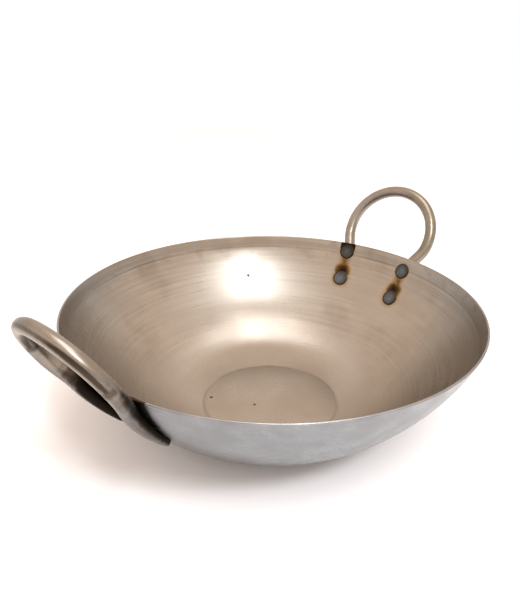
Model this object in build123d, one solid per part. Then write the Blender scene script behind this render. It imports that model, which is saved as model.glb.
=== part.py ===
"""Kadai: a round spun steel bowl with two loop handles, each spot welded on at four places.

Lengths are in millimetres and angles in degrees. The origin is the middle of the flat
base, +Z is up, and the two handles stand out along +X and -X.
"""
import os
from math import asin, cos, degrees, radians, sin

from build123d import *

# Bowl: one spun sheet with a flat base, a wall of two arcs and a steeper band at the rim
rim_radius = 150.0
bowl_height = 86.0
base_radius = 51.5
sheet = 1.6
rim_band = 11.0
rim_edge_radius = 0.6
base_angle = 6.0
middle_angle = 42.0
shoulder_angle = 63.0
band_angle = 67.0

# Loop: a round bar bent to an arc, in a plane that leans out over the rim
bar_diameter = 9.5
loop_height = 53.2
loop_offset = 6.4
loop_angle = 60.3
loop_join_angle = 0.0
loop_end_angle = 9.0

# The bars are bent by hand, and the left handle came out a little narrower
right_loop_radius = 38.6
right_leg_spread = 58.4
left_loop_radius = 36.0
left_leg_spread = 46.4

# Legs: the bar's ends, bent in to the wall and forged flat towards square cut tips
leg_top_drop = 9.0
leg_tip_drop = 48.6
leg_narrowing = 7.6
leg_top_width = 9.6
leg_tip_width = 15.0
leg_top_height = 9.6
leg_tip_height = 4.1
leg_top_sink = 0.5
leg_tip_sink = 1.2
leg_stations = 6
bend_stations = 2
bar_squareness = 2.0
leg_top_squareness = 2.2
leg_tip_squareness = 4.0
outline_points = 16

# Spot welds: two on each leg, fused through the sheet, with the electrode's mark inside
upper_weld_drop = 9.9
lower_weld_drop = 35.3
weld_stagger = 2.0
weld_ring_radius = 6.7
weld_face_radius = 4.6
weld_nugget_radius = 2.8
weld_ring_proud = 0.42
weld_ring_edge = 0.15
weld_ring_depth = 0.5
weld_dish = 0.45
weld_bite = 1.2
weld_clear_height = 1.4


def solve_wall():
    """Return the radii of the wall's low and high arc, which join the base to the rim band."""
    low, middle, high = radians(base_angle), radians(middle_angle), radians(shoulder_angle)
    run = rim_radius - base_radius - rim_band * cos(radians(band_angle))
    rise = bowl_height - rim_band * sin(radians(band_angle))
    low_run, high_run = sin(middle) - sin(low), sin(high) - sin(middle)
    low_rise, high_rise = cos(low) - cos(middle), cos(middle) - cos(high)
    scale = low_run * high_rise - high_run * low_rise
    return (run * high_rise - high_run * rise) / scale, (low_run * rise - run * low_rise) / scale


low_radius, high_radius = solve_wall()


def wall_point(angle, inset=0.0):
    """Return the wall's radius and height where it climbs at an angle, inset from its outside."""
    middle = radians(middle_angle)
    centre_radius = base_radius - low_radius * sin(radians(base_angle))
    centre_height = low_radius * cos(radians(base_angle))
    radius = low_radius
    if angle > middle_angle:
        centre_radius += (low_radius - high_radius) * sin(middle)
        centre_height -= (low_radius - high_radius) * cos(middle)
        radius = high_radius
    reach = radius - inset
    return centre_radius + reach * sin(radians(angle)), centre_height - reach * cos(radians(angle))


def corner_point(corner, angle_below, angle_above, inset):
    """Return a corner of the wall's outline moved inwards, square to the mean of its two sides."""
    mean = radians(angle_above + angle_below) / 2
    reach = inset / cos(radians(angle_above - angle_below) / 2)
    return corner[0] - reach * sin(mean), corner[1] + reach * cos(mean)


def wall_outline(inset):
    """Return the edges from the axis to the rim of the wall's outside, or of its inside."""
    foot = corner_point((base_radius, 0), 0, base_angle, inset)
    middle = wall_point(middle_angle, inset)
    shoulder = corner_point(wall_point(shoulder_angle), shoulder_angle, band_angle, inset)
    rim = corner_point((rim_radius, bowl_height), band_angle, band_angle, inset)
    low_bend = wall_point((base_angle + middle_angle) / 2, inset)
    high_bend = wall_point((middle_angle + shoulder_angle) / 2, inset)
    to_space = lambda point: (point[0], 0, point[1])
    return [
        Line(to_space((0, foot[1])), to_space(foot)),
        ThreePointArc(to_space(foot), to_space(low_bend), to_space(middle)),
        ThreePointArc(to_space(middle), to_space(high_bend), to_space(shoulder)),
        Line(to_space(shoulder), to_space(rim)),
    ]


def make_sheet():
    """Return the bowl's spun sheet with its rim edges rounded, before it is welded."""
    outside, inside = wall_outline(0), wall_outline(sheet)
    edges = outside + inside
    edges.append(Line(outside[-1] @ 1, inside[-1] @ 1))
    edges.append(Line(outside[0] @ 0, inside[0] @ 0))
    shell = revolve(make_face(Curve() + edges), Axis.Z)
    rim_edges = shell.edges().filter_by(GeomType.CIRCLE).sort_by(Axis.Z)[-2:]
    return fillet(rim_edges, rim_edge_radius)


def make_core():
    """Return the bowl's full outer form as a solid lump, which shapes the legs' seats."""
    outside = wall_outline(0)
    rim = outside[-1] @ 1
    edges = outside + [Line(rim, (0, 0, bowl_height)), Line((0, 0, bowl_height), outside[0] @ 0)]
    return revolve(make_face(Curve() + edges), Axis.Z)


def wall_frame(drop, side):
    """Return the outer wall's point and outward normal, a drop below the rim and off to one side."""
    if drop <= rim_band:
        angle = band_angle
        radius = rim_radius - drop * cos(radians(angle))
        height = bowl_height - drop * sin(radians(angle))
    else:
        angle = shoulder_angle - degrees((drop - rim_band) / high_radius)
        radius, height = wall_point(angle)
    turn = asin(side / radius)
    point = Vector(radius * cos(turn), side, height)
    steep = sin(radians(angle))
    return point, Vector(steep * cos(turn), steep * sin(turn), -cos(radians(angle)))


def leg_side(spread, drop):
    """Return how far a leg's middle lies to the side of its handle's middle, at a drop."""
    share = (drop - leg_top_drop) / (leg_tip_drop - leg_top_drop)
    return (spread - leg_narrowing * share) / 2


def loop_frame(radius):
    """Return the loop's centre, its upward direction and its outward normal."""
    lean = radians(loop_angle)
    upward, outward = Vector(cos(lean), 0, sin(lean)), Vector(sin(lean), 0, -cos(lean))
    centre = Vector(rim_radius + loop_offset, 0, bowl_height) + upward * (loop_height - radius)
    return centre, upward, outward


def loop_point(radius, angle):
    """Return a point on the bar's centre line, at an angle below the loop's own centre."""
    centre, upward, _ = loop_frame(radius)
    turn = radians(angle)
    return centre + Vector(0, radius * cos(turn), 0) - upward * (radius * sin(turn))


def make_loop(radius):
    """Return the round arc of the bar, from one leg's join to the other's."""
    centre, _, outward = loop_frame(radius)
    bar = bar_outline(*loop_row(radius, loop_join_angle))
    return revolve(bar, Axis(centre, outward), revolution_arc=180 + 2 * loop_join_angle)


def loop_row(radius, angle):
    """Return the bar's section on the arc: middle, direction, outward direction and sizes."""
    _, upward, outward = loop_frame(radius)
    turn = radians(angle)
    along = Vector(0, -sin(turn), 0) - upward * cos(turn)
    return loop_point(radius, angle), along, outward, bar_diameter, bar_diameter, bar_squareness


def bar_outline(middle, along, outward, width, height, squareness):
    """Return one section of the bar: a rounded outline, square to the bar's own direction."""
    outward = (outward - along * outward.dot(along)).normalized()
    plane = Plane(origin=middle, x_dir=outward.cross(along), z_dir=along)
    points = []
    for step in range(outline_points):
        turn = radians(360 * step / outline_points)
        across, up = cos(turn), sin(turn)
        shape = (abs(across) ** squareness + abs(up) ** squareness) ** (1 / squareness)
        points.append((width / 2 * across / shape, height / 2 * up / shape))
    return plane * make_face(Spline(*points, periodic=True))


def wall_rows(spread):
    """Return the sections of a leg's flattened part, which lies on the wall, top to tip."""
    middles, sizes = [], []
    for step in range(leg_stations):
        share = step / (leg_stations - 1)
        drop = leg_top_drop + (leg_tip_drop - leg_top_drop) * share
        point, normal = wall_frame(drop, leg_side(spread, drop))
        width = leg_top_width + (leg_tip_width - leg_top_width) * share
        proud = leg_top_height + (leg_tip_height - leg_top_height) * share
        squareness = leg_top_squareness + (leg_tip_squareness - leg_top_squareness) * share
        sink = leg_top_sink + (leg_tip_sink - leg_top_sink) * share
        middles.append(point + normal * ((proud - sink) / 2))
        sizes.append((normal, width, proud + sink, squareness))
    rows = []
    for step in range(leg_stations):
        before, after = max(step - 1, 0), min(step + 1, leg_stations - 1)
        rows.append((middles[step], (middles[after] - middles[before]).normalized(), *sizes[step]))
    return rows


def bend_rows(before, after):
    """Return the sections of the bend that brings the round bar in to the wall."""
    start, end = before[0], after[0]
    pull = (end - start).length / 3
    bend = Bezier(start, start + before[1] * pull, end - after[1] * pull, end)
    rows = []
    for step in range(1, bend_stations + 1):
        share = step / (bend_stations + 1)
        outward = (before[2] * (1 - share) + after[2] * share).normalized()
        sizes = [old * (1 - share) + new * share for old, new in zip(before[3:], after[3:])]
        rows.append((bend @ share, bend % share, outward, *sizes))
    return rows


def make_leg(radius, spread):
    """Return one leg's forged blank, which still reaches a little into the wall."""
    top = [loop_row(radius, loop_join_angle), loop_row(radius, loop_end_angle)]
    wall = wall_rows(spread)
    return loft([bar_outline(*row) for row in top + bend_rows(top[-1], wall[0]) + wall])


def weld_outline(dished):
    """Return the edges of a weld's half section, about its own axis, open face up."""
    cap_radius = (weld_nugget_radius ** 2 + weld_bite ** 2) / (2 * weld_bite)
    dish_radius = (weld_face_radius ** 2 + weld_dish ** 2) / (2 * weld_dish)
    bottom = (0, -sheet - weld_bite)
    cap = JernArc(bottom, (1, 0), cap_radius, degrees(asin(weld_nugget_radius / cap_radius)))
    dish = JernArc((0, -weld_dish), (1, 0), dish_radius, degrees(asin(weld_face_radius / dish_radius)))
    neck = (weld_nugget_radius, -weld_ring_depth)
    foot = (weld_ring_radius, -weld_ring_depth)
    edge = (weld_ring_radius, weld_ring_edge)
    crest = ((weld_ring_radius + weld_face_radius) / 2, weld_ring_proud)
    edges = [cap, Line(cap @ 1, neck), Line(neck, foot)]
    if dished:
        edges += [Line(foot, edge), ThreePointArc(edge, crest, dish @ 1), dish]
        return edges + [Line(dish @ 0, bottom)]
    corner, top = (weld_ring_radius, weld_clear_height), (0, weld_clear_height)
    return edges + [Line(foot, corner), Line(corner, top), Line(top, bottom)]


def make_weld(spread, drop, dished=True):
    """Return a weld with its ring and dished face, or the filled form of the place it takes."""
    point, normal = wall_frame(drop, leg_side(spread, drop))
    middle, inward = point - normal * sheet, normal * -1
    across = Vector(0, 1, 0).cross(inward).normalized()
    section = Plane(origin=middle, x_dir=across, z_dir=across.cross(inward))
    return revolve(section * make_face(Curve() + weld_outline(dished)), Axis(middle, inward))


def save(solid, name):
    """Name one piece and write it to its own file."""
    solid.label = name
    export_step(solid, f"parts/{name}.step")


def make_side(side, turn, radius, spread, core, bowl):
    """Write one handle and its welds, and return the bowl with the welds' places cut in it."""
    placed = Rot(0, 0, turn)
    handle = make_loop(radius)
    for end, stagger in (("a", -weld_stagger), ("b", weld_stagger)):
        leg = make_leg(radius, spread) - core
        for height, drop in (("upper", upper_weld_drop), ("lower", lower_weld_drop)):
            weld = make_weld(spread, drop + stagger)
            place = make_weld(spread, drop + stagger, False)
            leg = leg - place
            if end == "b":
                weld, place = mirror(weld, Plane.XZ), mirror(place, Plane.XZ)
            bowl = bowl - placed * place
            save(placed * weld, f"{side}_weld_{height}_{end}")
        handle = handle + (mirror(leg, Plane.XZ) if end == "b" else leg)
    save(placed * handle, f"{side}_handle")
    return bowl


def main():
    """Build every piece and write it out."""
    os.makedirs("parts", exist_ok=True)
    core = make_core()
    bowl = make_sheet()
    bowl = make_side("right", 0, right_loop_radius, right_leg_spread, core, bowl)
    bowl = make_side("left", 180, left_loop_radius, left_leg_spread, core, bowl)
    save(bowl, "bowl")


main()
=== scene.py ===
"""Kadai: a spun steel bowl and its two welded loop handles, dressed and lit in a pale studio.

Lengths are in metres unless a name says millimetres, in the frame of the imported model: the
origin is the middle of the flat base, +Z is up and the handles stand out along +X and -X.
"""
import logging
from dataclasses import dataclass, field, replace
from enum import Enum
from math import asin, cos, pi, radians, sin, sqrt
from typing import Callable, Sequence

import bpy
from mathutils import Matrix, Vector


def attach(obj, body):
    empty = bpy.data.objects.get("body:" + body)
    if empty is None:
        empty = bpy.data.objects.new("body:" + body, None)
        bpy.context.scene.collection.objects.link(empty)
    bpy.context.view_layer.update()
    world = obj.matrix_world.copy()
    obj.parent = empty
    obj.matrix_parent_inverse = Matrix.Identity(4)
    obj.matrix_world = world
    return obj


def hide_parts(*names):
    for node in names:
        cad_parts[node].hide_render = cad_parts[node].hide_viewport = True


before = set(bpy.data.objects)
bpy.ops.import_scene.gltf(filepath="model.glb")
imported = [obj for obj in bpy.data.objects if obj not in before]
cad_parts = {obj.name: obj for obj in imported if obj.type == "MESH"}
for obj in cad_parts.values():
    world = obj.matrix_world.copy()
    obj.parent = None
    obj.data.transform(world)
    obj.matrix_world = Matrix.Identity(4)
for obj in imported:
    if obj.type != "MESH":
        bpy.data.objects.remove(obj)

logging.basicConfig(level=logging.INFO, format="%(message)s")
log = logging.getLogger("kadai")

MM = 0.001
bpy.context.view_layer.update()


class Side(Enum):
    """The two handles, by the way their loops stand out along X."""

    RIGHT = "right"
    LEFT = "left"

    @property
    def turn(self) -> float:
        """Return the turn about Z that brings a handle made on +X to this side."""
        return 0.0 if self is Side.RIGHT else pi


class Height(Enum):
    """The two welds on each leg."""

    UPPER = "upper"
    LOWER = "lower"


class End(Enum):
    """The two legs of a handle: a on its own +Y side, b on its own -Y side."""

    A = "a"
    B = "b"

    @property
    def sign(self) -> int:
        """Return +1 for the leg on the handle's own +Y side and -1 for the other."""
        return 1 if self is End.A else -1


def linear(hex_colour: str) -> tuple[float, float, float, float]:
    """Turn an sRGB hex colour into linear red, green, blue and alpha.

    Args:
        hex_colour: Six hex digits, with a leading hash sign.

    Returns:
        The four linear values, with an alpha of one.
    """
    channels = []
    for start in (1, 3, 5):
        value = int(hex_colour[start:start + 2], 16) / 255
        channels.append(value / 12.92 if value <= 0.04045 else ((value + 0.055) / 1.055) ** 2.4)
    return channels[0], channels[1], channels[2], 1.0


def clamp(value: float) -> float:
    """Return a value held between zero and one."""
    return min(max(value, 0.0), 1.0)


def add_node(tree: bpy.types.NodeTree, kind: str, settings: dict, *inputs, **named) -> bpy.types.Node:
    """Add one node to a node tree, with its settings and what goes into its sockets.

    Args:
        tree: The node tree that gets the node.
        kind: The node's type name, without its ShaderNode prefix.
        settings: Attributes of the node itself.
        *inputs: A value, a node or an output for each socket that is in use, in their order.
        **named: The same for sockets by name, with _ for blanks.

    Returns:
        The new node.
    """
    node = tree.nodes.new("ShaderNode" + kind)
    for name, value in settings.items():
        setattr(node, name, value)
    wanted = list(zip((socket for socket in node.inputs if socket.enabled), inputs))
    wanted += [(node.inputs[name.replace("_", " ")], value) for name, value in named.items()]
    for socket, value in wanted:
        if isinstance(value, bpy.types.Node):
            value = next(output for output in value.outputs if output.enabled)
        if isinstance(value, bpy.types.NodeSocket):
            tree.links.new(value, socket)
        else:
            socket.default_value = value
    return node


def start_material(name: str) -> tuple[bpy.types.Material, bpy.types.NodeTree]:
    """Make a material with no nodes.

    Args:
        name: The material's name.

    Returns:
        The material and its node tree.
    """
    material = bpy.data.materials.new(name)
    material.use_nodes = True
    material.node_tree.nodes.clear()
    return material, material.node_tree


ADD = {"operation": "ADD"}
SUBTRACT = {"operation": "SUBTRACT"}
MULTIPLY = {"operation": "MULTIPLY"}
MAXIMUM = {"operation": "MAXIMUM"}
ABSOLUTE = {"operation": "ABSOLUTE"}
DISTANCE = {"operation": "DISTANCE"}
EASED = {"interpolation_type": "SMOOTHSTEP"}
MIXED = {"data_type": "RGBA"}
SHADED = {"data_type": "RGBA", "blend_type": "MULTIPLY"}


@dataclass(frozen=True)
class SpunSteel:
    """Low carbon steel sheet spun on a lathe, bare and lightly oiled: satin, with turned rings.

    The rings are the marks of the spinning roller, so they run round the bowl's axis and pull
    each highlight out along the wall. They are drawn 2.6 mm apart, coarser than the real ones, so
    that they show. Steel is a metal, so its colour is that of its reflections. A zone is where a
    look comes in or goes out: by radius for the rings, by radius and height added up for the
    streaks, and by the distance down from or beside the upper weld for heat, burns and the painted
    shadow beside the legs.
    """

    name: str
    base: str
    warm: str
    smudge: str
    roughness: float = 0.29
    anisotropy: float = 0.74
    ring_mm: float = 2.6
    ring_length_mm: float = 90.0
    ring_height_mm: float = 0.006
    ring_shade: float = 0.24
    ring_rough: float = 0.08
    ring_radius: float = 0.13
    ring_zone: tuple[float, float] = (0.06, 0.125)
    mottle_mm: float = 34.0
    streak_mm: float = 4.5
    streak_shade: float = 0.42
    streak_zone: tuple[float, float] = (0.188, 0.226)
    blotch_mm: float = 12.0
    grain_mm: float = 1.6
    grain_shade: float = 0.022
    smudge_share: float = 0.45
    heat_side: float = 0.0100
    heat_share: float = 0.46
    heat_start: tuple[float, float] = (-0.002, 0.003)
    heat_end: tuple[float, float] = (0.018, 0.026)
    heat_tear_mm: float = 3.5
    rim_burn_above: tuple[float, float] = (-0.0030, 0.0005)
    rim_burn_beside: tuple[float, float] = (0.0060, 0.0078)
    leg_burn_shadow_beside: tuple[float, float] = (0.0068, 0.0113)
    leg_burn_shadow_down: tuple[float, float] = (0.004, 0.030)
    leg_burn_shadow_least: float = 0.35
    leg_burn_shadow_tear_mm: float = 3.0
    inner: bool = True

    def build(self) -> bpy.types.Material:
        """Make the material: rings and mottling, and inside the bowl also streaks, pits and heat.

        Returns:
            The material.
        """
        material, tree = start_material(self.name)
        place = add_node(tree, "TexCoord", {}).outputs["Object"]
        parts = add_node(tree, "SeparateXYZ", {}, place)
        flat = add_node(tree, "CombineXYZ", {}, parts.outputs["X"], parts.outputs["Y"], 0.0)
        radius = add_node(tree, "VectorMath", {"operation": "LENGTH"}, flat)
        climb = add_node(tree, "Math", ADD, radius, parts.outputs["Z"])
        turned = self._turned_place(tree, flat, climb)

        rings = add_node(tree, "TexNoise", {}, turned, 1 / (self.ring_mm * MM), 2.0, 0.5)
        streaks = add_node(tree, "TexNoise", {}, turned, 1 / (self.streak_mm * MM), 3.0, 0.6)
        mottle = add_node(tree, "TexNoise", {}, place, 1 / (self.mottle_mm * MM), 4.0, 0.55)
        smear = add_node(tree, "TexNoise", {}, place, 0.75 / (self.mottle_mm * MM), 2.5, 0.55)
        grain = add_node(tree, "TexNoise", {}, place, 1 / (self.grain_mm * MM), 2.0, 0.6)
        high = add_node(tree, "MapRange", EASED, radius, *self.ring_zone, 0.0, 1.0)
        patchy = add_node(tree, "MapRange", EASED, smear, 0.35, 0.6, 0.25, 1.0)
        ring_share = add_node(tree, "Math", MULTIPLY, high, patchy)

        warm_share = add_node(tree, "MapRange", EASED, mottle, 0.3, 0.7, 0.0, 1.0)
        colour = add_node(tree, "Mix", MIXED, warm_share, linear(self.base), linear(self.warm))
        rubbed = add_node(tree, "MapRange", EASED, smear, 0.52, 0.72, 0.0, self.smudge_share)
        rubbed = add_node(tree, "Math", MULTIPLY, rubbed, high)
        colour = add_node(tree, "Mix", MIXED, rubbed, colour, linear(self.smudge))
        ring_shade = add_node(tree, "Math", SUBTRACT, rings, 0.5)
        ring_shade = add_node(tree, "Math", MULTIPLY, ring_shade, ring_share)
        ring_shade = add_node(tree, "Math", MULTIPLY, ring_shade, 2 * self.ring_shade)
        ring_shade = add_node(tree, "Math", ADD, ring_shade, 1.0)
        colour = add_node(tree, "Mix", SHADED, 1.0, colour, ring_shade)
        lightest, darkest = 1 + self.grain_shade, 1 - self.grain_shade
        speckle = add_node(tree, "MapRange", EASED, grain, 0.2, 0.8, darkest, lightest)
        colour = add_node(tree, "Mix", SHADED, 1.0, colour, speckle)
        if self.inner:
            colour = self._rim_streaks(tree, place, climb, streaks, colour)
            # Painted shade and highlight along the base and rim band creases, and dark lines under the rim.
            colour = self._lines(tree, climb, smear, colour)
            colour = self._pits(tree, place, colour)
            colour = self._heat(tree, place, colour)
        else:
            # Burn and painted shadow beside the legs.
            colour = self._leg_burn_and_shadow(tree, place, colour)

        rough = add_node(tree, "Math", MULTIPLY, rings, self.ring_rough)
        rough = add_node(tree, "Math", ADD, rough, self.roughness - self.ring_rough / 2)
        uneven = add_node(tree, "MapRange", EASED, mottle, 0.3, 0.7, -0.02, 0.03)
        rough = add_node(tree, "Math", ADD, rough, uneven)
        height = add_node(tree, "Math", MULTIPLY, rings, ring_share)
        bump = add_node(tree, "Bump", {}, 1.0, self.ring_height_mm * MM, Height=height)
        shader = add_node(
            tree, "BsdfPrincipled", {}, Metallic=1.0, Base_Color=colour, Roughness=rough, Normal=bump,
        )
        if self.anisotropy:
            shader.inputs["Anisotropic"].default_value = self.anisotropy
            tangent = add_node(tree, "Tangent", {"direction_type": "RADIAL", "axis": "Z"})
            tree.links.new(tangent.outputs[0], shader.inputs["Tangent"])
        add_node(tree, "OutputMaterial", {}, shader)
        return material

    def _turned_place(
        self, tree: bpy.types.NodeTree, flat: bpy.types.Node, climb: bpy.types.Node
    ) -> bpy.types.Node:
        """Turn a place on the bowl into one where a noise becomes long marks round the axis.

        Args:
            tree: The material's nodes.
            flat: The place with its height left out.
            climb: The place's radius and height added up.

        Returns:
            The stretched place.
        """
        around = add_node(tree, "VectorMath", {"operation": "NORMALIZE"}, flat)
        reach = self.ring_radius * self.ring_mm / self.ring_length_mm
        spread = add_node(tree, "VectorMath", {"operation": "SCALE"}, around, reach)
        rise = add_node(tree, "CombineXYZ", {}, 0.0, 0.0, climb)
        return add_node(tree, "VectorMath", ADD, spread, rise)

    def _rim_streaks(
        self, tree: bpy.types.NodeTree, place: bpy.types.NodeSocket, climb: bpy.types.Node,
        streaks: bpy.types.Node, colour: bpy.types.Node,
    ) -> bpy.types.Node:
        """Add the dull streaks that run round under the rim, where the roller pressed least evenly.

        Args:
            tree: The material's nodes.
            place: Where a point is, in metres.
            climb: A point's radius and height added up, in metres.
            streaks: A noise that is stretched round the axis.
            colour: The sheet's own colour.

        Returns:
            The streaked colour.
        """
        zone = add_node(tree, "MapRange", EASED, climb, *self.streak_zone, 0.0, 1.0)
        share = add_node(tree, "MapRange", EASED, streaks, 0.42, 0.66, 0.0, self.streak_shade)
        share = add_node(tree, "Math", MULTIPLY, share, zone)
        blotches = add_node(tree, "TexNoise", {}, place, 1 / (self.blotch_mm * MM), 3.0, 0.5)
        blotches = add_node(tree, "MapRange", EASED, blotches, 0.5, 0.68, 0.0, self.streak_shade)
        blotches = add_node(tree, "Math", MULTIPLY, blotches, zone)
        share = add_node(tree, "Math", MAXIMUM, share, blotches)
        return add_node(tree, "Mix", MIXED, share, colour, linear(self.smudge))

    def _lines(
        self, tree: bpy.types.NodeTree, climb: bpy.types.Node, smear: bpy.types.Node, colour: bpy.types.Node
    ) -> bpy.types.Node:
        """Add lines round the axis: painted shade along the base's crease, painted shade and a painted
        highlight along the rim band's crease, and dark lines along the rim's edge and below the band.

        Args:
            tree: The material's nodes.
            climb: A point's radius and height added up, in metres.
            smear: A slow noise that makes them fade and return.
            colour: The sheet's own colour.

        Returns:
            The lined colour.
        """
        fading = add_node(tree, "MapRange", EASED, smear, 0.35, 0.6, 0.2, 1.0)
        for middle, half, strength in CREASE_SHADING_AND_LINES:
            away = add_node(tree, "Math", SUBTRACT, climb, middle)
            away = add_node(tree, "Math", ABSOLUTE, away)
            line = add_node(tree, "MapRange", EASED, away, 0.0, half, strength, 0.0)
            line = add_node(tree, "Math", MULTIPLY, line, fading)
            line = add_node(tree, "Math", ADD, line, 1.0)
            colour = add_node(tree, "Mix", SHADED, 1.0, colour, line)
        return colour

    def _pits(
        self, tree: bpy.types.NodeTree, place: bpy.types.NodeSocket, colour: bpy.types.Node
    ) -> bpy.types.Node:
        """Add the few dark pits in the sheet.

        Args:
            tree: The material's nodes.
            place: Where a point is, in metres.
            colour: The sheet's own colour.

        Returns:
            The pitted colour.
        """
        for middle, size in PITS:
            away = add_node(tree, "VectorMath", DISTANCE, place, middle)
            shade = add_node(tree, "MapRange", EASED, away, 0.5 * size, size, 0.12, 1.0)
            colour = add_node(tree, "Mix", SHADED, 1.0, colour, shade)
        return colour

    def _heat(
        self, tree: bpy.types.NodeTree, place: bpy.types.NodeSocket, colour: bpy.types.Node
    ) -> bpy.types.Node:
        """Add the heat tints that each pair of spot welds left in the sheet.

        They are darkest just above the lower weld and end in straw round both. Where the upper
        weld reaches the rim, the edge above it is burnt black.

        Args:
            tree: The material's nodes.
            place: Where a point is, in metres.
            colour: The sheet's own colour.

        Returns:
            The tinted colour.
        """
        spot = add_node(tree, "Attribute", {"attribute_name": "weld_place"}).outputs["Vector"]
        parts = add_node(tree, "SeparateXYZ", {}, spot)
        side = add_node(tree, "Math", ABSOLUTE, parts.outputs["X"])
        down, near = parts.outputs["Y"], parts.outputs["Z"]
        flat = add_node(tree, "CombineXYZ", {}, side, down, 0.0)
        heat = add_node(tree, "MapRange", EASED, side, 0.0, self.heat_side, self.heat_share, 0.0)
        starts = add_node(tree, "MapRange", EASED, down, *self.heat_start, 0.0, 1.0)
        ends = add_node(tree, "MapRange", EASED, down, *self.heat_end, 1.0, 0.0)
        heat = add_node(tree, "Math", MULTIPLY, heat, starts)
        heat = add_node(tree, "Math", MULTIPLY, heat, ends)
        for centre, inner, outer, strength in HEAT_SPOTS:
            away = add_node(tree, "VectorMath", DISTANCE, flat, centre)
            spot_heat = add_node(tree, "MapRange", EASED, away, inner, outer, strength, 0.0)
            heat = add_node(tree, "Math", MAXIMUM, heat, spot_heat)
        above = add_node(tree, "MapRange", EASED, down, *self.rim_burn_above, 1.0, 0.0)
        beside = add_node(tree, "MapRange", EASED, side, *self.rim_burn_beside, 1.0, 0.0)
        burnt = add_node(tree, "Math", MULTIPLY, above, beside)
        reaches = add_node(tree, "Attribute", {"attribute_name": "rim_burn"}).outputs["Fac"]
        burnt = add_node(tree, "Math", MULTIPLY, burnt, reaches)
        heat = add_node(tree, "Math", MAXIMUM, heat, burnt)
        heat = add_node(tree, "Math", MULTIPLY, heat, near)
        ragged = add_node(tree, "TexNoise", {}, place, 1 / (self.heat_tear_mm * MM), 3.0, 0.6)
        ragged = add_node(tree, "MapRange", EASED, ragged, 0.25, 0.75, 0.86, 1.12)
        heat = add_node(tree, "Math", MULTIPLY, heat, ragged)
        tint = add_node(tree, "ValToRGB", {}, heat)
        while len(tint.color_ramp.elements) < len(HEAT_COLOURS):
            tint.color_ramp.elements.new(1.0)
        for element, (level, shade) in zip(tint.color_ramp.elements, HEAT_COLOURS):
            element.position = level
            element.color = linear(shade)
        share = add_node(tree, "MapRange", EASED, heat, 0.02, 0.50, 0.0, 1.0)
        return add_node(tree, "Mix", MIXED, share, colour, tint)

    def _leg_burn_and_shadow(
        self, tree: bpy.types.NodeTree, place: bpy.types.NodeSocket, colour: bpy.types.Node
    ) -> bpy.types.Node:
        """Add the dark band on the outer wall beside each leg: burn from the welding, and painted shadow
        in the gap beside the leg.

        Args:
            tree: The material's nodes.
            place: Where a point is, in metres.
            colour: The sheet's own colour.

        Returns:
            The burnt colour.
        """
        spot = add_node(tree, "Attribute", {"attribute_name": "weld_place"}).outputs["Vector"]
        parts = add_node(tree, "SeparateXYZ", {}, spot)
        side = add_node(tree, "Math", ABSOLUTE, parts.outputs["X"])
        beside = add_node(tree, "MapRange", EASED, side, *self.leg_burn_shadow_beside, 1.0, 0.0)
        down = parts.outputs["Y"]
        fading = add_node(tree, "MapRange", EASED, down, *self.leg_burn_shadow_down, 1.0, self.leg_burn_shadow_least)
        # This band is burn and painted shadow in the gap beside the leg.
        burnt = add_node(tree, "Math", MULTIPLY, beside, fading)
        burnt = add_node(tree, "Math", MULTIPLY, burnt, parts.outputs["Z"])
        ragged = add_node(tree, "TexNoise", {}, place, 1 / (self.leg_burn_shadow_tear_mm * MM), 3.0, 0.6)
        ragged = add_node(tree, "MapRange", EASED, ragged, 0.3, 0.7, 0.6, 1.3)
        burnt = add_node(tree, "Math", MULTIPLY, burnt, ragged)
        share = add_node(tree, "MapRange", EASED, burnt, 0.05, 0.7, 0.0, 0.92)
        return add_node(tree, "Mix", MIXED, share, colour, linear(LEG_BURN_AND_SHADOW))


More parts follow.
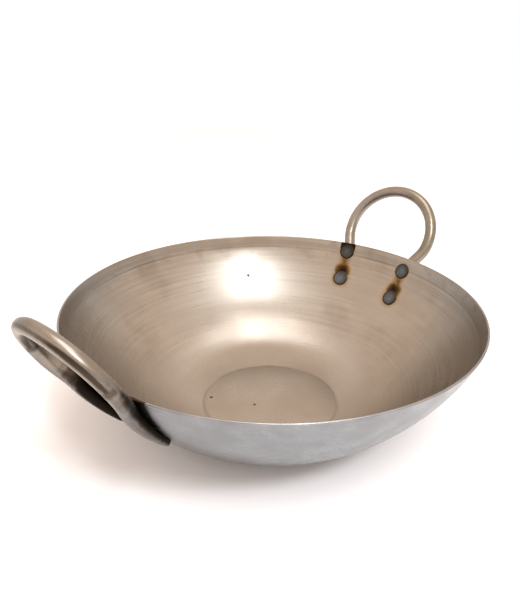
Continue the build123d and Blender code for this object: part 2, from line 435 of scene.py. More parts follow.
@dataclass(frozen=True)
class BarSteel:
    """Drawn mild steel bar, hot bent and forged at its ends.

    It is satin with fine lengthwise lines, browned in patches, and black with forge scale on the
    sides of its legs, while their outer faces were rubbed bare again. A dark brown band along the
    loop's lower outer side is a painted dark reflection, and the brown at the bends is heat browning.
    """

    name: str = "forged_mild_steel_bar"
    base: str = "#938D86"
    brown: str = "#7C7266"
    olive: str = "#857F6C"
    heat_brown_and_dark_reflection: str = "#3A3027"
    scale_black: str = "#211B15"
    worn: str = "#6F6C69"
    roughness: float = 0.32
    streak_mm: float = 0.9
    streak_rough: float = 0.10
    streak_height_mm: float = 0.006
    stain_mm: float = 7.2
    patch_mm: float = 30.0
    tear_mm: float = 4.0
    tear_reach: float = 0.14
    worn_share: float = 0.85
    scale_rough: float = 0.22

    def build(self) -> bpy.types.Material:
        """Make the material, with lengthwise drawn lines and black forge scale on the legs.

        Returns:
            The material.
        """
        material, tree = start_material(self.name)
        place = add_node(tree, "TexCoord", {}).outputs["Object"]
        along = add_node(tree, "Attribute", {"attribute_name": "bar"}).outputs["Vector"]
        forged = add_node(tree, "Attribute", {"attribute_name": "forged"}).outputs["Vector"]
        forged = add_node(tree, "SeparateXYZ", {}, forged)
        drawn = add_node(tree, "TexNoise", {}, along, 1 / (self.streak_mm * MM), 3.0, 0.6)
        patch = add_node(tree, "TexNoise", {}, place, 1 / (self.patch_mm * MM), 4.0, 0.6)
        stain = add_node(tree, "TexNoise", {}, along, 1 / (self.stain_mm * MM), 2.0, 0.5)
        ragged = add_node(tree, "TexNoise", {}, place, 1 / (self.tear_mm * MM), 4.0, 0.6)
        share = add_node(tree, "MapRange", EASED, patch, 0.35, 0.7, 0.0, 1.0)
        colour = add_node(tree, "Mix", MIXED, share, linear(self.base), linear(self.brown))
        share = add_node(tree, "MapRange", EASED, stain, 0.45, 0.75, 0.0, 0.5)
        colour = add_node(tree, "Mix", MIXED, share, colour, linear(self.olive))
        streak = add_node(tree, "MapRange", EASED, drawn, 0.25, 0.75, 0.92, 1.05)
        colour = add_node(tree, "Mix", SHADED, 1.0, colour, streak)
        torn = add_node(tree, "MapRange", {}, ragged, 0.0, 1.0, -self.tear_reach, self.tear_reach)
        rubbed = add_node(tree, "Math", MULTIPLY, forged.outputs["Z"], self.worn_share)
        colour = add_node(tree, "Mix", MIXED, rubbed, colour, linear(self.worn))
        # Forged Y: a painted dark reflection on the loop's lower outer side and heat browning at the bends.
        brown = add_node(tree, "Math", ADD, forged.outputs["Y"], torn)
        brown_and_reflection_share = add_node(tree, "MapRange", EASED, brown, 0.1, 0.8, 0.0, 0.92)
        colour = add_node(tree, "Mix", MIXED, brown_and_reflection_share, colour, linear(self.heat_brown_and_dark_reflection))
        burnt = add_node(tree, "Math", ADD, forged.outputs["X"], torn)
        share = add_node(tree, "MapRange", EASED, burnt, 0.05, 0.5, 0.0, 0.9)
        colour = add_node(tree, "Mix", MIXED, share, colour, linear(self.heat_brown_and_dark_reflection))
        black = add_node(tree, "MapRange", EASED, burnt, 0.4, 0.9, 0.0, 1.0)
        colour = add_node(tree, "Mix", MIXED, black, colour, linear(self.scale_black))
        rough = add_node(tree, "Math", MULTIPLY, drawn, self.streak_rough)
        rough = add_node(tree, "Math", ADD, rough, self.roughness - self.streak_rough / 2)
        scaly = add_node(tree, "Math", MULTIPLY, black, self.scale_rough)
        rough = add_node(tree, "Math", ADD, rough, scaly)
        height = add_node(tree, "Math", ADD, drawn, patch)
        bump = add_node(tree, "Bump", {}, 1.0, self.streak_height_mm * MM, Height=height)
        shader = add_node(
            tree, "BsdfPrincipled", {}, Metallic=1.0, Base_Color=colour, Roughness=rough, Normal=bump,
        )
        add_node(tree, "OutputMaterial", {}, shader)
        return material


@dataclass(frozen=True)
class WeldSteel:
    """The print of a spot welding electrode: blue-grey oxide in the dish and a burnt brown ring."""

    name: str = "spot_welded_steel"
    dish: str = "#54575A"
    middle: str = "#62676B"
    ring: str = "#39342E"
    roughness: float = 0.46
    tear_mm: float = 2.0
    tear_reach: float = 0.15
    mottle_mm: float = 1.5
    mottle_height_mm: float = 0.05

    def build(self) -> bpy.types.Material:
        """Make the material, coloured by how far a point is from the weld's own axis.

        Returns:
            The material.
        """
        material, tree = start_material(self.name)
        place = add_node(tree, "TexCoord", {}).outputs["Object"]
        out = add_node(tree, "Attribute", {"attribute_name": "out"}).outputs["Fac"]
        ragged = add_node(tree, "TexNoise", {}, place, 1 / (self.tear_mm * MM), 3.0, 0.6)
        ragged = add_node(tree, "MapRange", {}, ragged, 0.0, 1.0, -self.tear_reach, self.tear_reach)
        out = add_node(tree, "Math", ADD, out, ragged)
        mottle = add_node(tree, "TexNoise", {}, place, 1 / (self.mottle_mm * MM), 3.0, 0.6)
        share = add_node(tree, "MapRange", EASED, out, 0.1, 0.6, 0.0, 1.0)
        colour = add_node(tree, "Mix", MIXED, share, linear(self.middle), linear(self.dish))
        share = add_node(tree, "MapRange", EASED, out, 0.62, 0.95, 0.0, 1.0)
        colour = add_node(tree, "Mix", MIXED, share, colour, linear(self.ring))
        shade = add_node(tree, "MapRange", EASED, mottle, 0.3, 0.7, 0.8, 1.15)
        colour = add_node(tree, "Mix", SHADED, 1.0, colour, shade)
        bump = add_node(tree, "Bump", {}, 1.0, self.mottle_height_mm * MM, Height=mottle)
        shader = add_node(
            tree, "BsdfPrincipled", {}, Metallic=1.0, Base_Color=colour, Roughness=self.roughness,
            Normal=bump,
        )
        add_node(tree, "OutputMaterial", {}, shader)
        return material


@dataclass(frozen=True)
class Wall:
    """The bowl's outer profile: a flat base, two arcs that meet smoothly and a steeper rim band."""

    rim_radius: float = 0.150
    height: float = 0.086
    base_radius: float = 0.0515
    sheet: float = 0.0016
    band: float = 0.011
    base_angle: float = radians(6)
    middle_angle: float = radians(42)
    shoulder_angle: float = radians(63)
    band_angle: float = radians(67)
    band_rows: tuple[float, ...] = (0.0, 0.3, 0.6, 0.9, 1.0)

    def radii(self) -> tuple[float, float]:
        """Solve the two arcs that join the base to the band.

        Returns:
            The radii of the low and of the high arc.
        """
        low, middle, high = self.base_angle, self.middle_angle, self.shoulder_angle
        run = self.rim_radius - self.base_radius - self.band * cos(self.band_angle)
        rise = self.height - self.band * sin(self.band_angle)
        low_run, high_run = sin(middle) - sin(low), sin(high) - sin(middle)
        low_rise, high_rise = cos(low) - cos(middle), cos(middle) - cos(high)
        scale = low_run * high_rise - high_run * low_rise
        return (run * high_rise - high_run * rise) / scale, (low_run * rise - run * low_rise) / scale

    def point(self, angle: float) -> tuple[float, float]:
        """Return the radius and height where the wall climbs at an angle.

        Args:
            angle: How steeply the wall climbs there, in radians.

        Returns:
            The point's radius and height.
        """
        low, high = self.radii()
        centre = self.base_radius - low * sin(self.base_angle)
        level = low * cos(self.base_angle)
        reach = low
        if angle > self.middle_angle:
            centre += (low - high) * sin(self.middle_angle)
            level -= (low - high) * cos(self.middle_angle)
            reach = high
        return centre + reach * sin(angle), level - reach * cos(angle)

    def outline(self, crease: float, spacing: float) -> list[tuple[float, float]]:
        """Return the profile's points from the axis to the rim, close together at the base's crease.

        Args:
            crease: How far the points beside the base's crease lie from it.
            spacing: How far the wall's points lie apart. The base's lie three times as far apart.

        Returns:
            Radius and height of each point.
        """
        low, high = self.radii()
        points = [(0.0, 0.0)]
        steps = round(self.base_radius / (3 * spacing))
        points += [((self.base_radius - crease) * step / steps, 0.0) for step in range(1, steps + 1)]
        points.append((self.base_radius, 0.0))
        for start, end, radius in (
            (self.base_angle, self.middle_angle, low),
            (self.middle_angle, self.shoulder_angle, high),
        ):
            steps = round(radius * (end - start) / spacing)
            if start == self.base_angle:
                points.append(self.point(start + crease / radius))
            points += [self.point(start + (end - start) * step / steps) for step in range(1, steps)]
        for share in self.band_rows:
            drop = self.band * (1 - share)
            reach = self.rim_radius - drop * cos(self.band_angle)
            points.append((reach, self.height - drop * sin(self.band_angle)))
        return points

    def frame(self, drop: float, side: float) -> tuple[Vector, Vector]:
        """Return the outer wall's point and outward normal on the +X side.

        Args:
            drop: How far below the rim it lies, along the wall.
            side: How far it lies off the middle of the handle.

        Returns:
            The point and the outward normal.
        """
        if drop <= self.band:
            angle = self.band_angle
            radius = self.rim_radius - drop * cos(angle)
            level = self.height - drop * sin(angle)
        else:
            angle = self.shoulder_angle - (drop - self.band) / self.radii()[1]
            radius, level = self.point(angle)
        turn = asin(side / radius)
        point = Vector((radius * cos(turn), side, level))
        return point, Vector((sin(angle) * cos(turn), sin(angle) * sin(turn), -cos(angle)))


@dataclass(frozen=True)
class Leg:
    """One forged leg of a handle, which the welds share."""

    spread: float
    top_drop: float = 0.009
    tip_drop: float = 0.0486
    narrowing: float = 0.0076

    def side(self, drop: float) -> float:
        """Return how far the leg's middle lies off the handle's middle, at a drop below the rim."""
        share = (drop - self.top_drop) / (self.tip_drop - self.top_drop)
        return (self.spread - self.narrowing * share) / 2


# Radius and height added up, half width and strength of each line, which darkens where negative.
# 0.0535 is painted shade in the base's crease, 0.2222 and 0.2196 are painted shade and a painted
# highlight at the rim band's crease, 0.2350 runs along the rim's edge and 0.2105 below the band.
CREASE_SHADING_AND_LINES = (
    (0.2350, 0.0025, -0.12),
    (0.2222, 0.0016, -0.22),
    (0.2196, 0.0014, 0.16),
    (0.2105, 0.0011, -0.14),
    (0.0535, 0.0022, -0.24),
)
# Middle and radius of each pit in the sheet.
PITS = (
    ((0.0850, 0.0990, 0.0540), 0.0021),
    ((-0.0280, 0.0370, 0.0016), 0.0017),
    ((-0.0130, 0.0050, 0.0016), 0.0015),
)
# Middle beside and below the upper weld, inner and outer radius, and strength of each spot.
HEAT_SPOTS = (
    ((0.0, 0.0180, 0.0), 0.0000, 0.0122, 0.92),
    ((0.0, 0.0248, 0.0), 0.0050, 0.0142, 0.34),
    ((0.0, 0.0, 0.0), 0.0050, 0.0125, 0.26),
)
# How hot the steel was and the colour that it kept, from straw through brown to burnt black.
HEAT_COLOURS = (
    (0.10, "#A08E66"),
    (0.30, "#80663E"),
    (0.52, "#5A4125"),
    (0.74, "#352619"),
    (1.0, "#1E1713"),
)
# Colour of the band beside each leg on the outer wall: burn and painted shadow.
LEG_BURN_AND_SHADOW = "#2A1F16"

LEGS = {Side.RIGHT: Leg(spread=0.0584), Side.LEFT: Leg(spread=0.0464)}


def start_piece(name: str) -> None:
    """Go to object mode with nothing selected, and report the piece that is made next.

    Args:
        name: What the piece is called in the log.
    """
    if bpy.context.object and bpy.context.object.mode != "OBJECT":
        bpy.ops.object.mode_set(mode="OBJECT")
    bpy.ops.object.select_all(action="DESELECT")
    log.info("making %s", name)


def finish_piece(
    name: str, materials: Sequence[bpy.types.Material], smooth_angle: float
) -> bpy.types.Object:
    """Name the active piece, put its place in its mesh and dress it.

    Args:
        name: The piece's name.
        materials: What goes into its material slots.
        smooth_angle: Edges sharper than this stay sharp.

    Returns:
        The finished piece.
    """
    piece = bpy.context.object
    piece.name = name
    piece.data.name = name
    bpy.ops.object.transform_apply(location=True, rotation=True, scale=True)
    for material in materials[len(piece.data.materials):]:
        piece.data.materials.append(material)
    bpy.ops.object.shade_smooth_by_angle(angle=smooth_angle)
    return piece


def apply_modifier(kind: str, **settings) -> None:
    """Add one modifier to the active piece with these settings and apply it.

    Args:
        kind: Blender's name for the modifier.
        **settings: Its settings.
    """
    modifier = bpy.context.object.modifiers.new(kind.lower(), kind)
    for name, value in settings.items():
        setattr(modifier, name, value)
    bpy.ops.object.modifier_apply(modifier=modifier.name)


def write_attribute(
    piece: bpy.types.Object, name: str, kind: str, measure: Callable[[Vector], object]
) -> None:
    """Write one value on each point of a piece.

    Args:
        piece: The piece.
        name: The attribute's name.
        kind: FLOAT or FLOAT_VECTOR.
        measure: What gives the value at a point.
    """
    layer = piece.data.attributes.new(name, kind, "POINT")
    key = "vector" if kind == "FLOAT_VECTOR" else "value"
    for point, datum in zip(piece.data.vertices, layer.data):
        setattr(datum, key, measure(point.co))


@dataclass
class Bowl:
    """The spun sheet: its wall, its rounded rim and the heat tints round the welds."""

    wall: Wall = field(default_factory=Wall)
    segments: int = 288
    spacing: float = 0.0028
    crease: float = 0.0005
    rim_round: float = 0.0006
    rim_steps: int = 3
    rim_angle: float = radians(50)
    smooth_angle: float = radians(40)
    near_weld: float = 0.024
    near_side: float = 0.0165
    welds: list[tuple[Vector, Vector, bool]] = field(default_factory=list)

    def build(
        self, outside: Sequence[bpy.types.Material], inside: Sequence[bpy.types.Material]
    ) -> bpy.types.Object:
        """Make the bowl.

        Args:
            outside: The finish of the outer wall, and the same for the base.
            inside: The finish of the inner wall, and the same for the base.

        Returns:
            The finished piece.
        """
        start_piece("bowl")
        self._spin_profile()
        bpy.ops.object.mode_set(mode="OBJECT")
        finishes = (outside[0], inside[0], outside[1], inside[1])
        for finish in finishes:
            bpy.context.object.data.materials.append(finish)
        apply_modifier(
            "SOLIDIFY", thickness=self.wall.sheet, offset=-1.0, use_even_offset=True, material_offset=1,
            use_quality_normals=True,
        )
        for face in bpy.context.object.data.polygons:
            if face.center.xy.length < self.wall.base_radius - self.crease / 2:
                face.material_index += 2
        apply_modifier(
            "BEVEL", width=self.rim_round, segments=self.rim_steps, limit_method="ANGLE",
            angle_limit=self.rim_angle,
        )
        piece = finish_piece("spun_bowl", finishes, self.smooth_angle)
        write_attribute(piece, "weld_place", "FLOAT_VECTOR", self._weld_place)
        write_attribute(piece, "rim_burn", "FLOAT", self._rim_burn)
        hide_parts("bowl")
        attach(piece, "root")
        return piece

    def _spin_profile(self) -> None:
        """Draw the profile from the axis outwards, point by point, and spin it round the axis."""
        bpy.ops.mesh.primitive_plane_add(size=self.crease, location=(0, 0, 0))
        bpy.ops.object.mode_set(mode="EDIT")
        bpy.ops.mesh.select_all(action="SELECT")
        bpy.ops.mesh.merge(type="CENTER")
        points = self.wall.outline(self.crease, self.spacing)
        for before, after in zip(points, points[1:]):
            step = (after[0] - before[0], 0.0, after[1] - before[1])
            bpy.ops.mesh.extrude_region_move(TRANSFORM_OT_translate={"value": step})
        bpy.ops.mesh.select_all(action="SELECT")
        bpy.ops.mesh.spin(steps=self.segments, angle=2 * pi, center=(0, 0, 0), axis=(0, 0, 1))
        bpy.ops.mesh.select_all(action="SELECT")
        bpy.ops.mesh.remove_doubles(threshold=self.crease / 50)
        bpy.ops.mesh.normals_make_consistent(inside=False)
        bpy.ops.object.mode_set(mode="OBJECT")
        mesh = bpy.context.object.data
        lowest = min(mesh.polygons, key=lambda face: face.center.z)
        if lowest.normal.z > 0:
            bpy.ops.object.mode_set(mode="EDIT")
            bpy.ops.mesh.select_all(action="SELECT")
            bpy.ops.mesh.flip_normals()

    def _nearest_pair(self, point: Vector) -> tuple[Vector, Vector, bool]:
        """Return the pair of welds whose middle is nearest to a point."""
        return min(self.welds, key=lambda pair: (point - (pair[0] + pair[1]) / 2).length_squared)

    def _weld_place(self, point: Vector) -> Vector:
        """Return where a point lies beside its nearest pair of welds.

        Args:
            point: A point of the bowl.

        Returns:
            How far it is to the side of the line through both, how far down from the upper one,
            and one where it is near them and zero where it isn't.
        """
        upper, lower, _ = self._nearest_pair(point)
        down = (lower - upper).normalized()
        sideways = Vector((-upper.y, upper.x, 0)).normalized()
        sideways = (sideways - down * sideways.dot(down)).normalized()
        side = (point - upper).dot(sideways)
        near = abs(side) < self.near_side and (point - (upper + lower) / 2).length < self.near_weld
        return Vector((side, (point - upper).dot(down), float(near)))

    def _rim_burn(self, point: Vector) -> float:
        """Return one beside a pair whose upper weld reaches the rim, and zero elsewhere."""
        return float(self._nearest_pair(point)[2])


@dataclass
class Handle:
    """One loop handle: a round bar bent to an arc, with two legs forged flat on the wall.

    The fields from scale_start on place the forge scale, the worn faces, the heat browning at the
    bends and the painted dark reflection along the loop's lower outer side. A level is a height of
    the bar's middle, and facing is one on the face that looks outwards, zero on the sides and minus
    one at the back.
    """

    side: Side
    radius: float
    wall: Wall = field(default_factory=Wall)
    bar: float = 0.0095
    loop_height: float = 0.0532
    offset: float = 0.0064
    lean: float = radians(60.3)
    end_angle: float = radians(9)
    top_width: float = 0.0096
    tip_width: float = 0.015
    top_height: float = 0.0096
    tip_height: float = 0.0041
    top_sink: float = 0.0005
    tip_sink: float = 0.0012
    round_squareness: float = 2.0
    top_squareness: float = 2.2
    tip_squareness: float = 4.0
    arc_steps: int = 30
    wall_steps: int = 10
    bend_steps: int = 5
    corner_steps: int = 6
    merge_reach: float = 0.00005
    smooth_angle: float = radians(50)
    line_stretch: float = 0.03
    scale_start: float = 0.107
    scale_fade: float = 0.015
    scale_step: float = 0.017
    worn_facing: float = -0.15
    worn_turn: float = 0.6
    worn_most: float = 0.95
    worn_loss: float = 0.20
    worn_low: float = 0.085
    worn_fade: float = 0.020
    # How strong the painted dark reflection and the heat browning at the bends are.
    brown_and_reflection_share: float = 1.0
    brown_facing: float = 0.6
    brown_half: float = 0.12
    brown_turn: float = 0.26
    brown_top: float = 0.137
    brown_top_fade: float = 0.010
    brown_foot: float = 0.103
    brown_foot_fade: float = 0.009
    bend_level: float = 0.1075
    bend_half: float = 0.007
    bend_facing: float = -0.35
    bend_turn: float = 0.2
    bend_share: float = 0.62

    def _loop_frame(self) -> tuple[Vector, Vector, Vector]:
        """Work out how the loop leans over the rim.

        Returns:
            The loop's centre, its upward direction and its outward normal.
        """
        upward = Vector((cos(self.lean), 0, sin(self.lean)))
        outward = Vector((sin(self.lean), 0, -cos(self.lean)))
        start = Vector((self.wall.rim_radius + self.offset, 0, self.wall.height))
        return start + upward * (self.loop_height - self.radius), upward, outward

    def _loop_row(self, angle: float) -> tuple:
        """Return the bar's section on the arc.

        Args:
            angle: How far below the loop's own centre it lies, on the +Y side, in radians.

        Returns:
            Middle, direction, outward direction, width, height and squareness.
        """
        centre, upward, outward = self._loop_frame()
        middle = centre + Vector((0, self.radius * cos(angle), 0)) - upward * (self.radius * sin(angle))
        along = Vector((0, -sin(angle), 0)) - upward * cos(angle)
        return middle, along, outward, self.bar, self.bar, self.round_squareness

    def _wall_rows(self) -> list[tuple]:
        """Work out the sections of the leg's flattened part.

        Returns:
            The sections from the leg's top to its tip.
        """
        leg = LEGS[self.side]
        middles, sizes = [], []
        for step in range(self.wall_steps + 1):
            share = step / self.wall_steps
            drop = leg.top_drop + (leg.tip_drop - leg.top_drop) * share
            point, normal = self.wall.frame(drop, leg.side(drop))
            width = self.top_width + (self.tip_width - self.top_width) * share
            proud = self.top_height + (self.tip_height - self.top_height) * share
            sink = self.top_sink + (self.tip_sink - self.top_sink) * share
            squareness = self.top_squareness + (self.tip_squareness - self.top_squareness) * share
            middles.append(point + normal * ((proud - sink) / 2))
            sizes.append((normal, width, proud + sink, squareness))
        rows = []
        for step, size in enumerate(sizes):
            before, after = max(step - 1, 0), min(step + 1, self.wall_steps)
            rows.append((middles[step], (middles[after] - middles[before]).normalized(), *size))
        return rows

    def _bend_rows(self, before: tuple, after: tuple) -> list[tuple]:
        """Return the sections of the bend between the round bar and the wall.

        Args:
            before: The last section of the round bar.
            after: The first section on the wall.

        Returns:
            The sections between them.
        """
        start, end = before[0], after[0]
        pull = (end - start).length / 3
        first, second = start + before[1] * pull, end - after[1] * pull
        rows = []
        for step in range(1, self.bend_steps + 1):
            share = step / (self.bend_steps + 1)
            rest = 1 - share
            middle = (
                start * rest ** 3 + first * 3 * rest ** 2 * share
                + second * 3 * rest * share ** 2 + end * share ** 3
            )
            along = (
                (first - start) * rest ** 2 + (second - first) * 2 * rest * share
                + (end - second) * share ** 2
            )
            outward = (before[2] * rest + after[2] * share).normalized()
            sizes = [old * rest + new * share for old, new in zip(before[3:], after[3:])]
            rows.append((middle, along.normalized(), outward, *sizes))
        return rows

    def spans(self) -> tuple[list[tuple], list[tuple], list[tuple]]:
        """Work out the bar's sections, where each span ends with the section that starts the next.

        Returns:
            Leg b from its tip up, the loop, and leg a down to its tip.
        """
        top = self._loop_row(self.end_angle)
        wall = self._wall_rows()
        leg = [self._loop_row(0.0), top] + self._bend_rows(top, wall[0]) + wall
        other = []
        for middle, along, outward, *sizes in reversed(leg):
            flip = Vector((1, -1, 1))
            other.append((middle * flip, along * flip * -1, outward * flip, *sizes))
        arc = [self._loop_row(-pi + pi * step / self.arc_steps) for step in range(self.arc_steps + 1)]
        return other, arc, leg

    def build(self, finish: bpy.types.Material) -> bpy.types.Object:
        """Make the handle.

        Args:
            finish: The bar's finish.

        Returns:
            The finished piece.
        """
        start_piece(f"{self.side.value} handle")
        other, arc, leg = self.spans()
        self._join_spans([self._draw_span(span) for span in (other, arc, leg)])
        apply_modifier("SUBSURF", levels=1, render_levels=1)
        piece = finish_piece(f"{self.side.value}_loop_handle", (finish,), self.smooth_angle)
        self._write_places(piece, other + arc[1:-1] + leg)
        turn = Matrix.Rotation(self.side.turn, 4, "Z")
        piece.data.transform(turn)
        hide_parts(f"{self.side.value}_handle")
        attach(piece, "root")
        return piece

    def _draw_span(self, rows: Sequence[tuple]) -> bpy.types.Object:
        """Draw one ring for each section of a span and bridge them.

        Args:
            rows: The span's sections.

        Returns:
            The open tube.
        """
        bpy.ops.object.select_all(action="DESELECT")
        rings = [self._draw_ring(*row) for row in rows]
        for ring in rings:
            ring.select_set(True)
        bpy.ops.object.join()
        bpy.ops.object.transform_apply(location=True, rotation=True, scale=True)
        bpy.ops.object.mode_set(mode="EDIT")
        bpy.ops.mesh.select_all(action="SELECT")
        bpy.ops.mesh.bridge_edge_loops()
        bpy.ops.object.mode_set(mode="OBJECT")
        return bpy.context.object

    def _join_spans(self, tubes: Sequence[bpy.types.Object]) -> None:
        """Join the spans to one bar and close its tips.

        Args:
            tubes: The open tubes, each of which starts where another ends.
        """
        for tube in tubes:
            tube.select_set(True)
        bpy.ops.object.join()
        bpy.ops.object.mode_set(mode="EDIT")
        bpy.ops.mesh.select_all(action="SELECT")
        bpy.ops.mesh.remove_doubles(threshold=self.merge_reach)
        bpy.ops.mesh.select_all(action="DESELECT")
        bpy.ops.mesh.select_non_manifold()
        bpy.ops.mesh.edge_face_add()
        bpy.ops.mesh.select_all(action="SELECT")
        bpy.ops.mesh.normals_make_consistent(inside=False)
        bpy.ops.object.mode_set(mode="OBJECT")

    def _draw_ring(
        self, middle: Vector, along: Vector, outward: Vector, width: float, height: float,
        squareness: float,
    ) -> bpy.types.Object:
        """Draw one section of the bar: a square whose corners are rounded until they meet.

        Args:
            middle: The section's middle.
            along: The bar's direction there.
            outward: The way its height is measured.
            width: Its width.
            height: Its height.
            squareness: Two for an ellipse, more for a squarer outline.

        Returns:
            The ring.
        """
        outward = (outward - along * outward.dot(along)).normalized()
        turn = Matrix((outward.cross(along), outward, along)).transposed().to_euler()
        bpy.ops.mesh.primitive_plane_add(size=1, location=middle, rotation=turn)
        ring = bpy.context.object
        bpy.ops.object.mode_set(mode="EDIT")
        bpy.ops.mesh.bevel(
            affect="VERTICES", offset_type="PERCENT", offset_pct=50, segments=self.corner_steps,
            profile=2 ** (-2 / squareness),
        )
        bpy.ops.mesh.delete(type="ONLY_FACE")
        bpy.ops.mesh.select_all(action="SELECT")
        bpy.ops.mesh.remove_doubles(threshold=MM)
        bpy.ops.object.mode_set(mode="OBJECT")
        ring.scale = (width, height, 1)
        return ring

    def _write_places(self, piece: bpy.types.Object, rows: Sequence[tuple]) -> None:
        """Write where each bar point lies, and its forge scale, heat brown, painted dark reflection and
        wear.

        Both layers are fetched once they exist, because adding one moves the other.

        Args:
            piece: The bar, still on the +X side.
            rows: The bar's sections.
        """
        lengths = [0.0]
        for before, after in zip(rows, rows[1:]):
            lengths.append(lengths[-1] + (after[0] - before[0]).length)

        def nearest(point: Vector) -> int:
            """Return the number of the section nearest to a point."""
            return min(range(len(rows)), key=lambda place: (rows[place][0] - point).length_squared)

        places = [nearest(point.co) for point in piece.data.vertices]
        piece.data.attributes.new("bar", "FLOAT_VECTOR", "POINT")
        piece.data.attributes.new("forged", "FLOAT_VECTOR", "POINT")
        bar, forged = piece.data.attributes["bar"], piece.data.attributes["forged"]
        for point, place, spot, look in zip(piece.data.vertices, places, bar.data, forged.data):
            middle, along, outward = rows[place][:3]
            offset = point.co - middle
            length = lengths[place] + offset.dot(along)
            high = offset.dot(outward)
            wide = offset.dot(outward.cross(along))
            spot.vector = (wide, high, length * self.line_stretch)
            high, wide = high / rows[place][4], wide / rows[place][3]
            facing = high / max(sqrt(high * high + wide * wide), MM)
            worn = self._worn(middle.z, facing, wide)
            scale = self._scale(middle.z, wide) * (1.0 - worn)
            look.vector = (scale, self._brown_and_dark_reflection(middle.z, facing), worn)

    def _scale(self, level: float, wide: float) -> float:
        """Return how much black forge scale there is, which starts lower on the legs' inner sides.

        Args:
            level: How high the section's middle lies.
            wide: How far to the loop's outside a point lies, as a share of the section's width.

        Returns:
            The share from 0 to 1.
        """
        lower = self.scale_step * clamp(0.5 - 2 * wide)
        return clamp((self.scale_start - lower - level) / self.scale_fade)

    def _worn(self, level: float, facing: float, wide: float) -> float:
        """Return how far the scale was rubbed off, on the legs' outer faces and not their inner sides.

        Args:
            level: How high the section's middle lies.
            facing: How far the point looks outwards.
            wide: How far to the loop's outside a point lies, as a share of the section's width.

        Returns:
            The share from 0 to 1.
        """
        face = clamp((facing - self.worn_facing) / self.worn_turn) * clamp(2.2 + 5 * wide)
        low = clamp((self.worn_low - level) / self.worn_fade)
        scaled = clamp((self.scale_start - level) / self.scale_fade)
        return face * scaled * (self.worn_most - self.worn_loss * low)

    def _brown_and_dark_reflection(self, level: float, facing: float) -> float:
        """Return how dark brown the bar is: a painted dark reflection along the loop's lower outer side,
        and heat browning at its bends.

        Args:
            level: How high the section's middle lies.
            facing: How far the point looks outwards.

        Returns:
            The share from 0 to 1.
        """
        band = 1.0 - clamp((abs(facing - self.brown_facing) - self.brown_half) / self.brown_turn)
        ends = clamp((self.brown_top - level) / self.brown_top_fade)
        ends *= clamp((level - self.brown_foot) / self.brown_foot_fade)
        bend = clamp(1.0 - abs(level - self.bend_level) / self.bend_half)
        bend *= clamp((facing - self.bend_facing) / self.bend_turn)
        return self.brown_and_reflection_share * max(band * ends, self.bend_share * bend)


@dataclass
class Weld:
    """One spot weld's print on the inner wall: a low ring round a shallow dish."""

    side: Side
    height: Height
    end: End
    wall: Wall = field(default_factory=Wall)
    upper_drop: float = 0.0099
    lower_drop: float = 0.0353
    stagger: float = 0.0020
    ring_radius: float = 0.0067
    face_radius: float = 0.0046
    foot: float = 0.0004
    edge: float = 0.00025
    crest: float = 0.00055
    dish: float = 0.0001
    points: int = 48
    smooth_angle: float = radians(60)

    def reaches_rim(self) -> bool:
        """Return whether the print lies so high that its heat burnt the rim above it."""
        return self.height is Height.UPPER and self.end is End.A

    def frame(self) -> tuple[Vector, Vector]:
        """Work out where the print lies on the inner wall.

        Returns:
            The print's middle and the way it faces.
        """
        drop = self.upper_drop if self.height is Height.UPPER else self.lower_drop
        drop -= self.end.sign * self.stagger
        point, normal = self.wall.frame(drop, LEGS[self.side].side(drop))
        flip = Vector((1, self.end.sign, 1))
        point, normal = point * flip, normal * flip
        turn = Matrix.Rotation(self.side.turn, 3, "Z")
        return turn @ (point - normal * self.wall.sheet), turn @ -normal

    def build(self, finish: bpy.types.Material) -> bpy.types.Object:
        """Make the print.

        Args:
            finish: The weld's finish.

        Returns:
            The finished piece.
        """
        name = f"{self.side.value}_weld_{self.height.value}_{self.end.value}"
        start_piece(name)
        middle, facing = self.frame()
        bpy.ops.mesh.primitive_circle_add(
            vertices=self.points, radius=self.ring_radius, fill_type="NGON", location=(0, 0, -self.foot),
        )
        bpy.ops.object.mode_set(mode="EDIT")
        bpy.ops.mesh.extrude_region_move(TRANSFORM_OT_translate={"value": (0, 0, self.foot + self.edge)})
        crest_radius = (self.ring_radius + self.face_radius) / 2
        self._step_in(self.ring_radius - crest_radius - self.edge, self.crest - self.edge)
        self._step_in(2 * self.edge, 0.0)
        self._step_in(crest_radius - self.face_radius - self.edge, self.dish + self.edge - self.crest)
        self._step_in(self.face_radius / 3, -self.edge)
        self._step_in(self.face_radius / 3, -self.edge / 3)
        bpy.ops.object.mode_set(mode="OBJECT")
        apply_modifier("SUBSURF", levels=2, render_levels=2)
        piece = bpy.context.object
        write_attribute(piece, "out", "FLOAT", self._share_out)
        piece.rotation_mode = "QUATERNION"
        piece.rotation_quaternion = facing.to_track_quat("Z", "Y")
        piece.location = middle
        piece = finish_piece(f"{name}_print", (finish,), self.smooth_angle)
        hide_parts(name)
        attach(piece, "root")
        return piece

    def _share_out(self, point: Vector) -> float:
        """Return how far a point lies from the weld's axis, as a share of the ring's radius."""
        return sqrt(point.x ** 2 + point.y ** 2) / self.ring_radius

    def _step_in(self, inset: float, rise: float) -> None:
        """Inset the selected face and move it along the weld's axis.

        Args:
            inset: How far in the new edge lies.
            rise: How far it is moved up.
        """
        bpy.ops.mesh.inset(thickness=inset, depth=0.0)
        bpy.ops.transform.translate(value=(0, 0, rise))


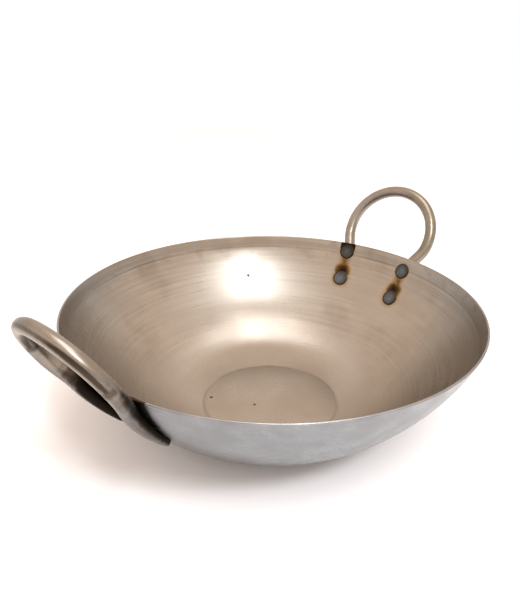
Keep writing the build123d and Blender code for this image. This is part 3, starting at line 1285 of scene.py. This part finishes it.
@dataclass
class Studio:
    """The pale floor that the kadai stands on, the soft light and the photo's camera."""

    floor_reach: float = 1.0
    floor_colour: str = "#EDEEF2"
    floor_roughness: float = 0.9
    camera_place: tuple[float, float, float] = (-0.31572, -0.25667, 0.27139)
    camera_turn_degrees: tuple[float, float, float] = (65.628, -0.652, -49.320)
    lens_mm: float = 37.01
    clip_start: float = 0.01
    aim: tuple[float, float, float] = (0.0, 0.0, 0.05)
    light_reach: float = 1.1
    key_azimuth: float = radians(-118)
    key_elevation: float = radians(54)
    key_size: tuple[float, float] = (0.16, 0.42)
    key_power: float = 5.3
    key_colour: tuple[float, float, float] = (0.86, 0.95, 1.0)
    fill_azimuth: float = radians(-96)
    fill_elevation: float = radians(43)
    fill_size: tuple[float, float] = (0.18, 0.18)
    fill_power: float = 4.5
    roof_place: tuple[float, float, float] = (0.08, -0.09, 1.3)
    roof_size: tuple[float, float] = (0.66, 0.66)
    roof_power: float = 5.0
    roof_colour: tuple[float, float, float] = (0.96, 0.98, 1.0)
    world_strength: float = 1.0
    low_colour: str = "#FFFFFF"
    wall_colour: str = "#FFE8D5"
    wall_gain: float = 1.41
    wall_low: float = radians(4)
    wall_high: float = radians(25)

    def build(self) -> None:
        """Make the floor, the lights, the room and the camera."""
        self._floor()
        self._lights()
        self._room()
        self._camera()

    def _floor(self) -> None:
        """Make the pale floor of uncoated paper, which is matt and so shows soft shadows only."""
        start_piece("floor")
        bpy.ops.mesh.primitive_plane_add(size=2 * self.floor_reach, location=(0, 0, 0))
        material, tree = start_material("matt_white_paper")
        shader = add_node(
            tree, "BsdfPrincipled", {}, Base_Color=linear(self.floor_colour),
            Roughness=self.floor_roughness,
        )
        add_node(tree, "OutputMaterial", {}, shader)
        floor = finish_piece("paper_floor", (material,), radians(30))

    def _lights(self) -> None:
        """Make the key light, the roof light and a fill light that gloss doesn't reflect."""
        key_place = self._hang(self.key_azimuth, self.key_elevation)
        fill_place = self._hang(self.fill_azimuth, self.fill_elevation)
        roof_place = Vector(self.roof_place)
        self._area("key_light", key_place, self.key_size, self.key_power, self.key_colour)
        self._area("roof_light", roof_place, self.roof_size, self.roof_power, self.roof_colour)
        self._area("fill_light", fill_place, self.fill_size, self.fill_power, self.roof_colour)
        bpy.data.objects["fill_light"].visible_glossy = False

    def _hang(self, azimuth: float, elevation: float) -> Vector:
        """Work out where a light hangs round the kadai.

        Args:
            azimuth: Its turn about Z, from +X.
            elevation: How steeply it looks down.

        Returns:
            The light's place.
        """
        flat = cos(elevation) * self.light_reach
        rise = sin(elevation) * self.light_reach
        return Vector(self.aim) + Vector((cos(azimuth) * flat, sin(azimuth) * flat, rise))

    def _room(self) -> None:
        """Make the room that the steel reflects: white low down, and warm from the walls up."""
        world = bpy.data.worlds.new("pale_room")
        world.use_nodes = True
        tree = world.node_tree
        tree.nodes.clear()
        way = add_node(tree, "TexCoord", {}).outputs["Generated"]
        climb = add_node(tree, "SeparateXYZ", {}, way).outputs["Z"]
        share = add_node(tree, "MapRange", {}, climb, sin(self.wall_low), sin(self.wall_high), 0.0, 1.0)
        warm = [part * self.wall_gain for part in linear(self.wall_colour)]
        room = add_node(tree, "Mix", MIXED, share, linear(self.low_colour), warm)
        back = add_node(tree, "Background", {}, room, self.world_strength)
        add_node(tree, "OutputWorld", {}, back)
        bpy.context.scene.world = world

    def _area(
        self, name: str, place: Vector, size: tuple[float, float], power: float,
        colour: tuple[float, float, float],
    ) -> None:
        """Add one area light that points at the kadai.

        Args:
            name: The light's name.
            place: Where it hangs.
            size: Its width and its length.
            power: Its power in watts.
            colour: Its linear red, green and blue.
        """
        data = bpy.data.lights.new(name, "AREA")
        data.shape = "RECTANGLE"
        data.size, data.size_y = size
        data.energy = power
        data.color = colour
        light = bpy.data.objects.new(name, data)
        light.location = place
        light.rotation_mode = "QUATERNION"
        light.rotation_quaternion = (Vector(self.aim) - place).to_track_quat("-Z", "Y")
        bpy.context.scene.collection.objects.link(light)

    def _camera(self) -> None:
        """Put the camera where the photo was taken from."""
        data = bpy.data.cameras.new("photo_camera")
        data.lens = self.lens_mm
        data.clip_start = self.clip_start
        camera = bpy.data.objects.new("photo_camera", data)
        camera.location = self.camera_place
        camera.rotation_euler = [radians(turn) for turn in self.camera_turn_degrees]
        bpy.context.scene.collection.objects.link(camera)
        bpy.context.scene.camera = camera
        bpy.context.scene.view_settings.view_transform = "Standard"


def main() -> None:
    """Build the studio and every piece of the kadai."""
    Studio().build()
    welds = [Weld(side, height, end) for side in Side for height in Height for end in End]
    pairs = []
    for upper in (weld for weld in welds if weld.height is Height.UPPER):
        lower = replace(upper, height=Height.LOWER)
        pairs.append((upper.frame()[0], lower.frame()[0], upper.reaches_rim()))
    # The outside is a darker, cooler copy of the inside steel: painted shade on the outer wall.
    outside = SpunSteel(
        "spun_steel_outside", base="#939597", warm="#8A8B8D", smudge="#77777A", inner=False,
        ring_shade=0.08, mottle_mm=15.0,
    )
    inside = SpunSteel("spun_steel_inside", base="#9F9991", warm="#99928A", smudge="#7F776D")
    outsides = [outside.build(), replace(outside, name="spun_steel_base_outside", anisotropy=0.0).build()]
    insides = [inside.build(), replace(inside, name="spun_steel_base_inside", anisotropy=0.0).build()]
    Bowl(welds=pairs).build(outsides, insides)
    bar = BarSteel().build()
    Handle(Side.RIGHT, radius=0.0386, scale_start=0.086, brown_and_reflection_share=0.15).build(bar)
    Handle(Side.LEFT, radius=0.0360).build(bar)
    burnt = WeldSteel(name="spot_weld_burnt", dish="#464743", middle="#535551", ring="#2B2722").build()
    oxide = WeldSteel(name="spot_weld_oxide").build()
    for weld in welds:
        weld.build(burnt if weld.reaches_rim() else oxide)


if __name__ == "__main__":
    main()
